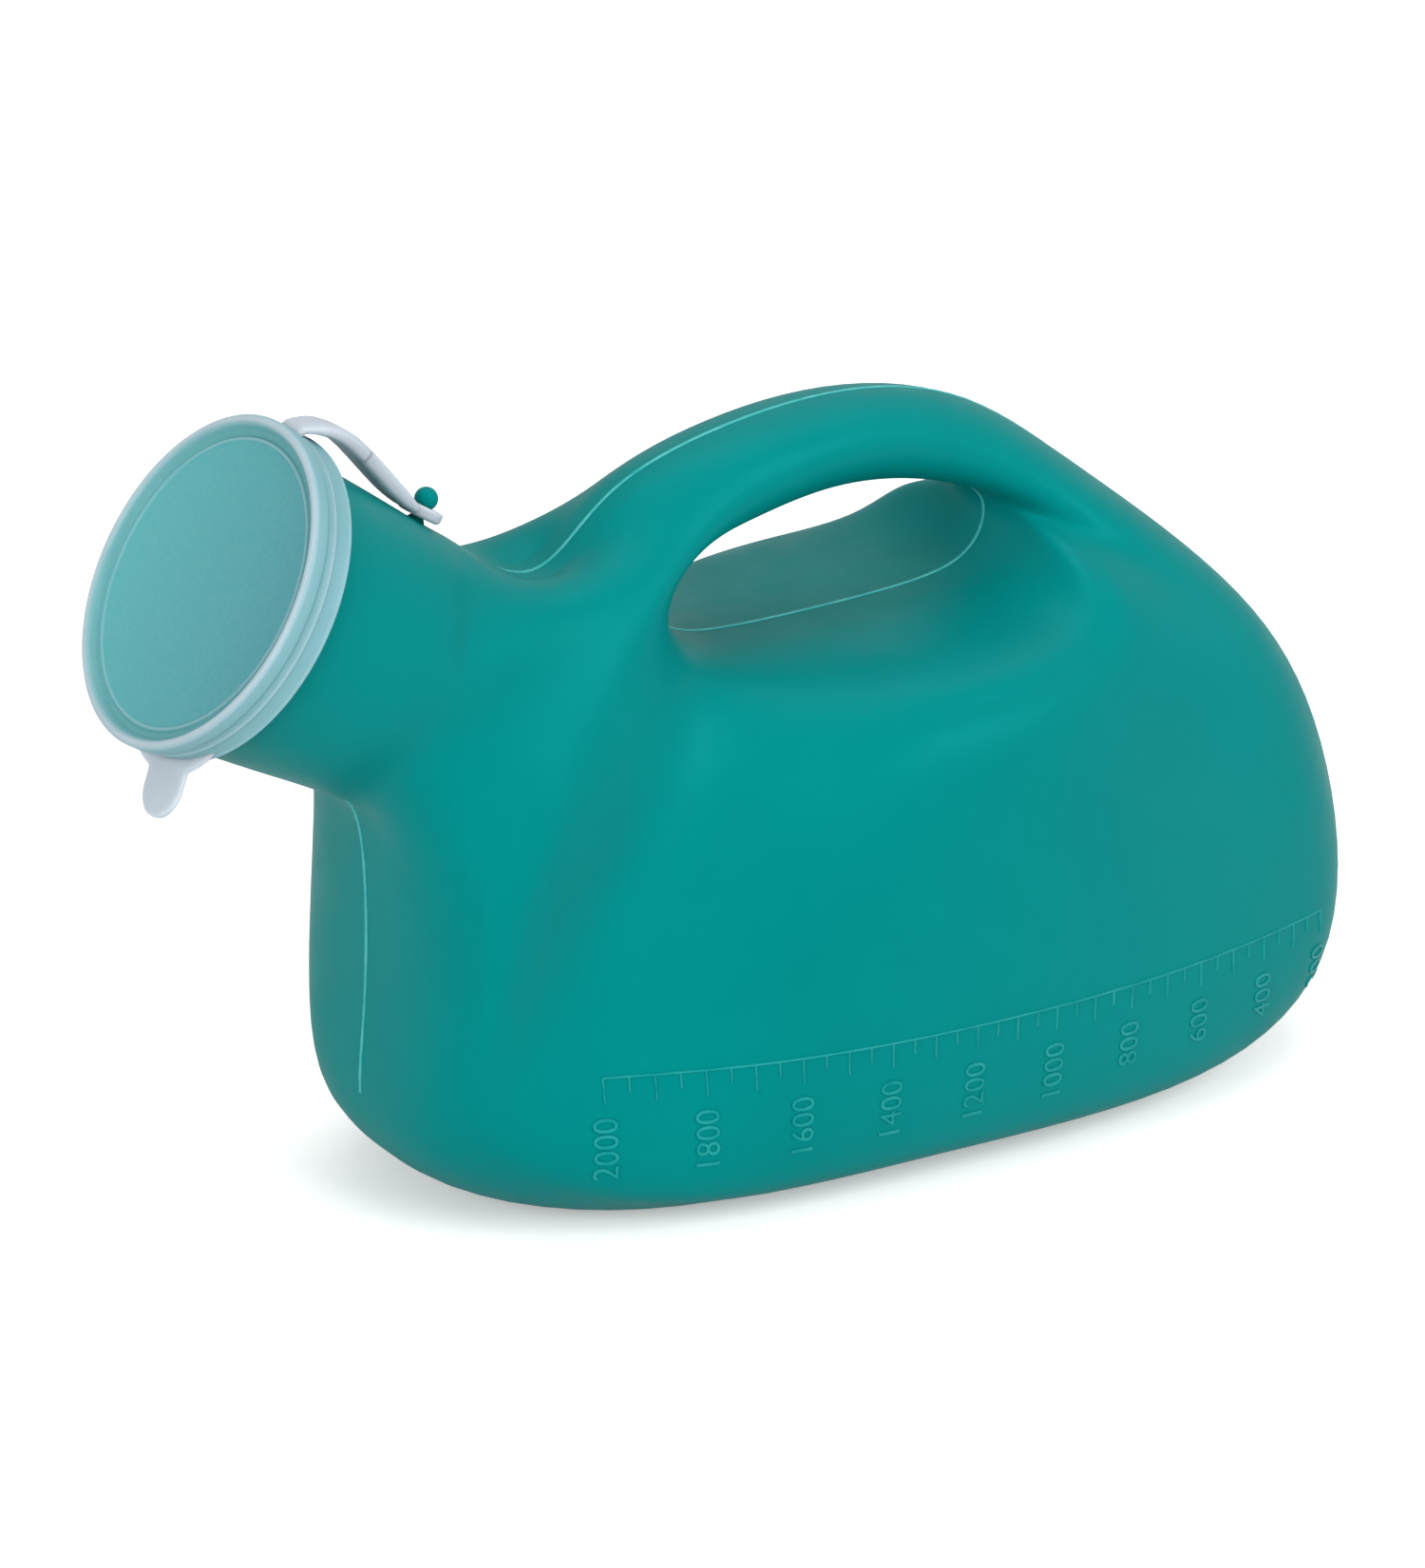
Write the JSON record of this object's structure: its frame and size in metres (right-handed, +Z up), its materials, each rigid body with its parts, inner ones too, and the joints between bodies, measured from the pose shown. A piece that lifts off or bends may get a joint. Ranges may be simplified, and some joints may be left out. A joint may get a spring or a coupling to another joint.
{
  "type": "urine bottle",
  "caption": "Lying two-litre urine bottle with a flat base, a slanted round neck, a hollow arched handle moulded in one with the tank, and a tethered push-on cap with a pull tab.",
  "frame": {"origin": "middle of the bounding box in plan, on the plane of the flat base", "axes": "+X along the tank, away from the mouth, which points towards -X and up; +Y across the bottle, away from the side that the picture shows; +Z up from the flat base"},
  "size_m": [0.2884, 0.122, 0.173],
  "materials": {
    "teal_polyethylene": "satin blow-moulded polyethylene",
    "milky_polyethylene": "satin, slightly translucent soft polyethylene"
  },
  "bodies": {
    "bottle": {"bottle_body": "teal_polyethylene", "tether_eyelet": "milky_polyethylene"},
    "strap": {"tether_strap": "milky_polyethylene"},
    "lid": {"cap_lid": "milky_polyethylene", "tether_root": "milky_polyethylene"},
    "tab": {"pull_tab": "milky_polyethylene"}
  },
  "joints": [
    {"name": "strap_lift", "type": "hinge", "parent": "bottle", "child": "strap", "pos_m": [-0.07923, 0, 0.15343], "axis": [0, 1, 0], "range_deg": [0, 17]},
    {"name": "cap_flip", "type": "hinge", "parent": "strap", "child": "lid", "pos_m": [-0.09719, 0, 0.17113], "axis": [0, 1, 0], "range_deg": [0, 140]},
    {"name": "tab_flex", "type": "hinge", "parent": "lid", "child": "tab", "pos_m": [-0.13679, -0.00769, 0.11133], "axis": [-0.1172, 0.9744, -0.192], "range_deg": [-10, 45], "stiffness_Nm_per_rad": 0.02}
  ],
  "couplings": [
    {"joint": "strap_lift", "follows": "cap_flip", "ratio": 0.12}
  ]
}
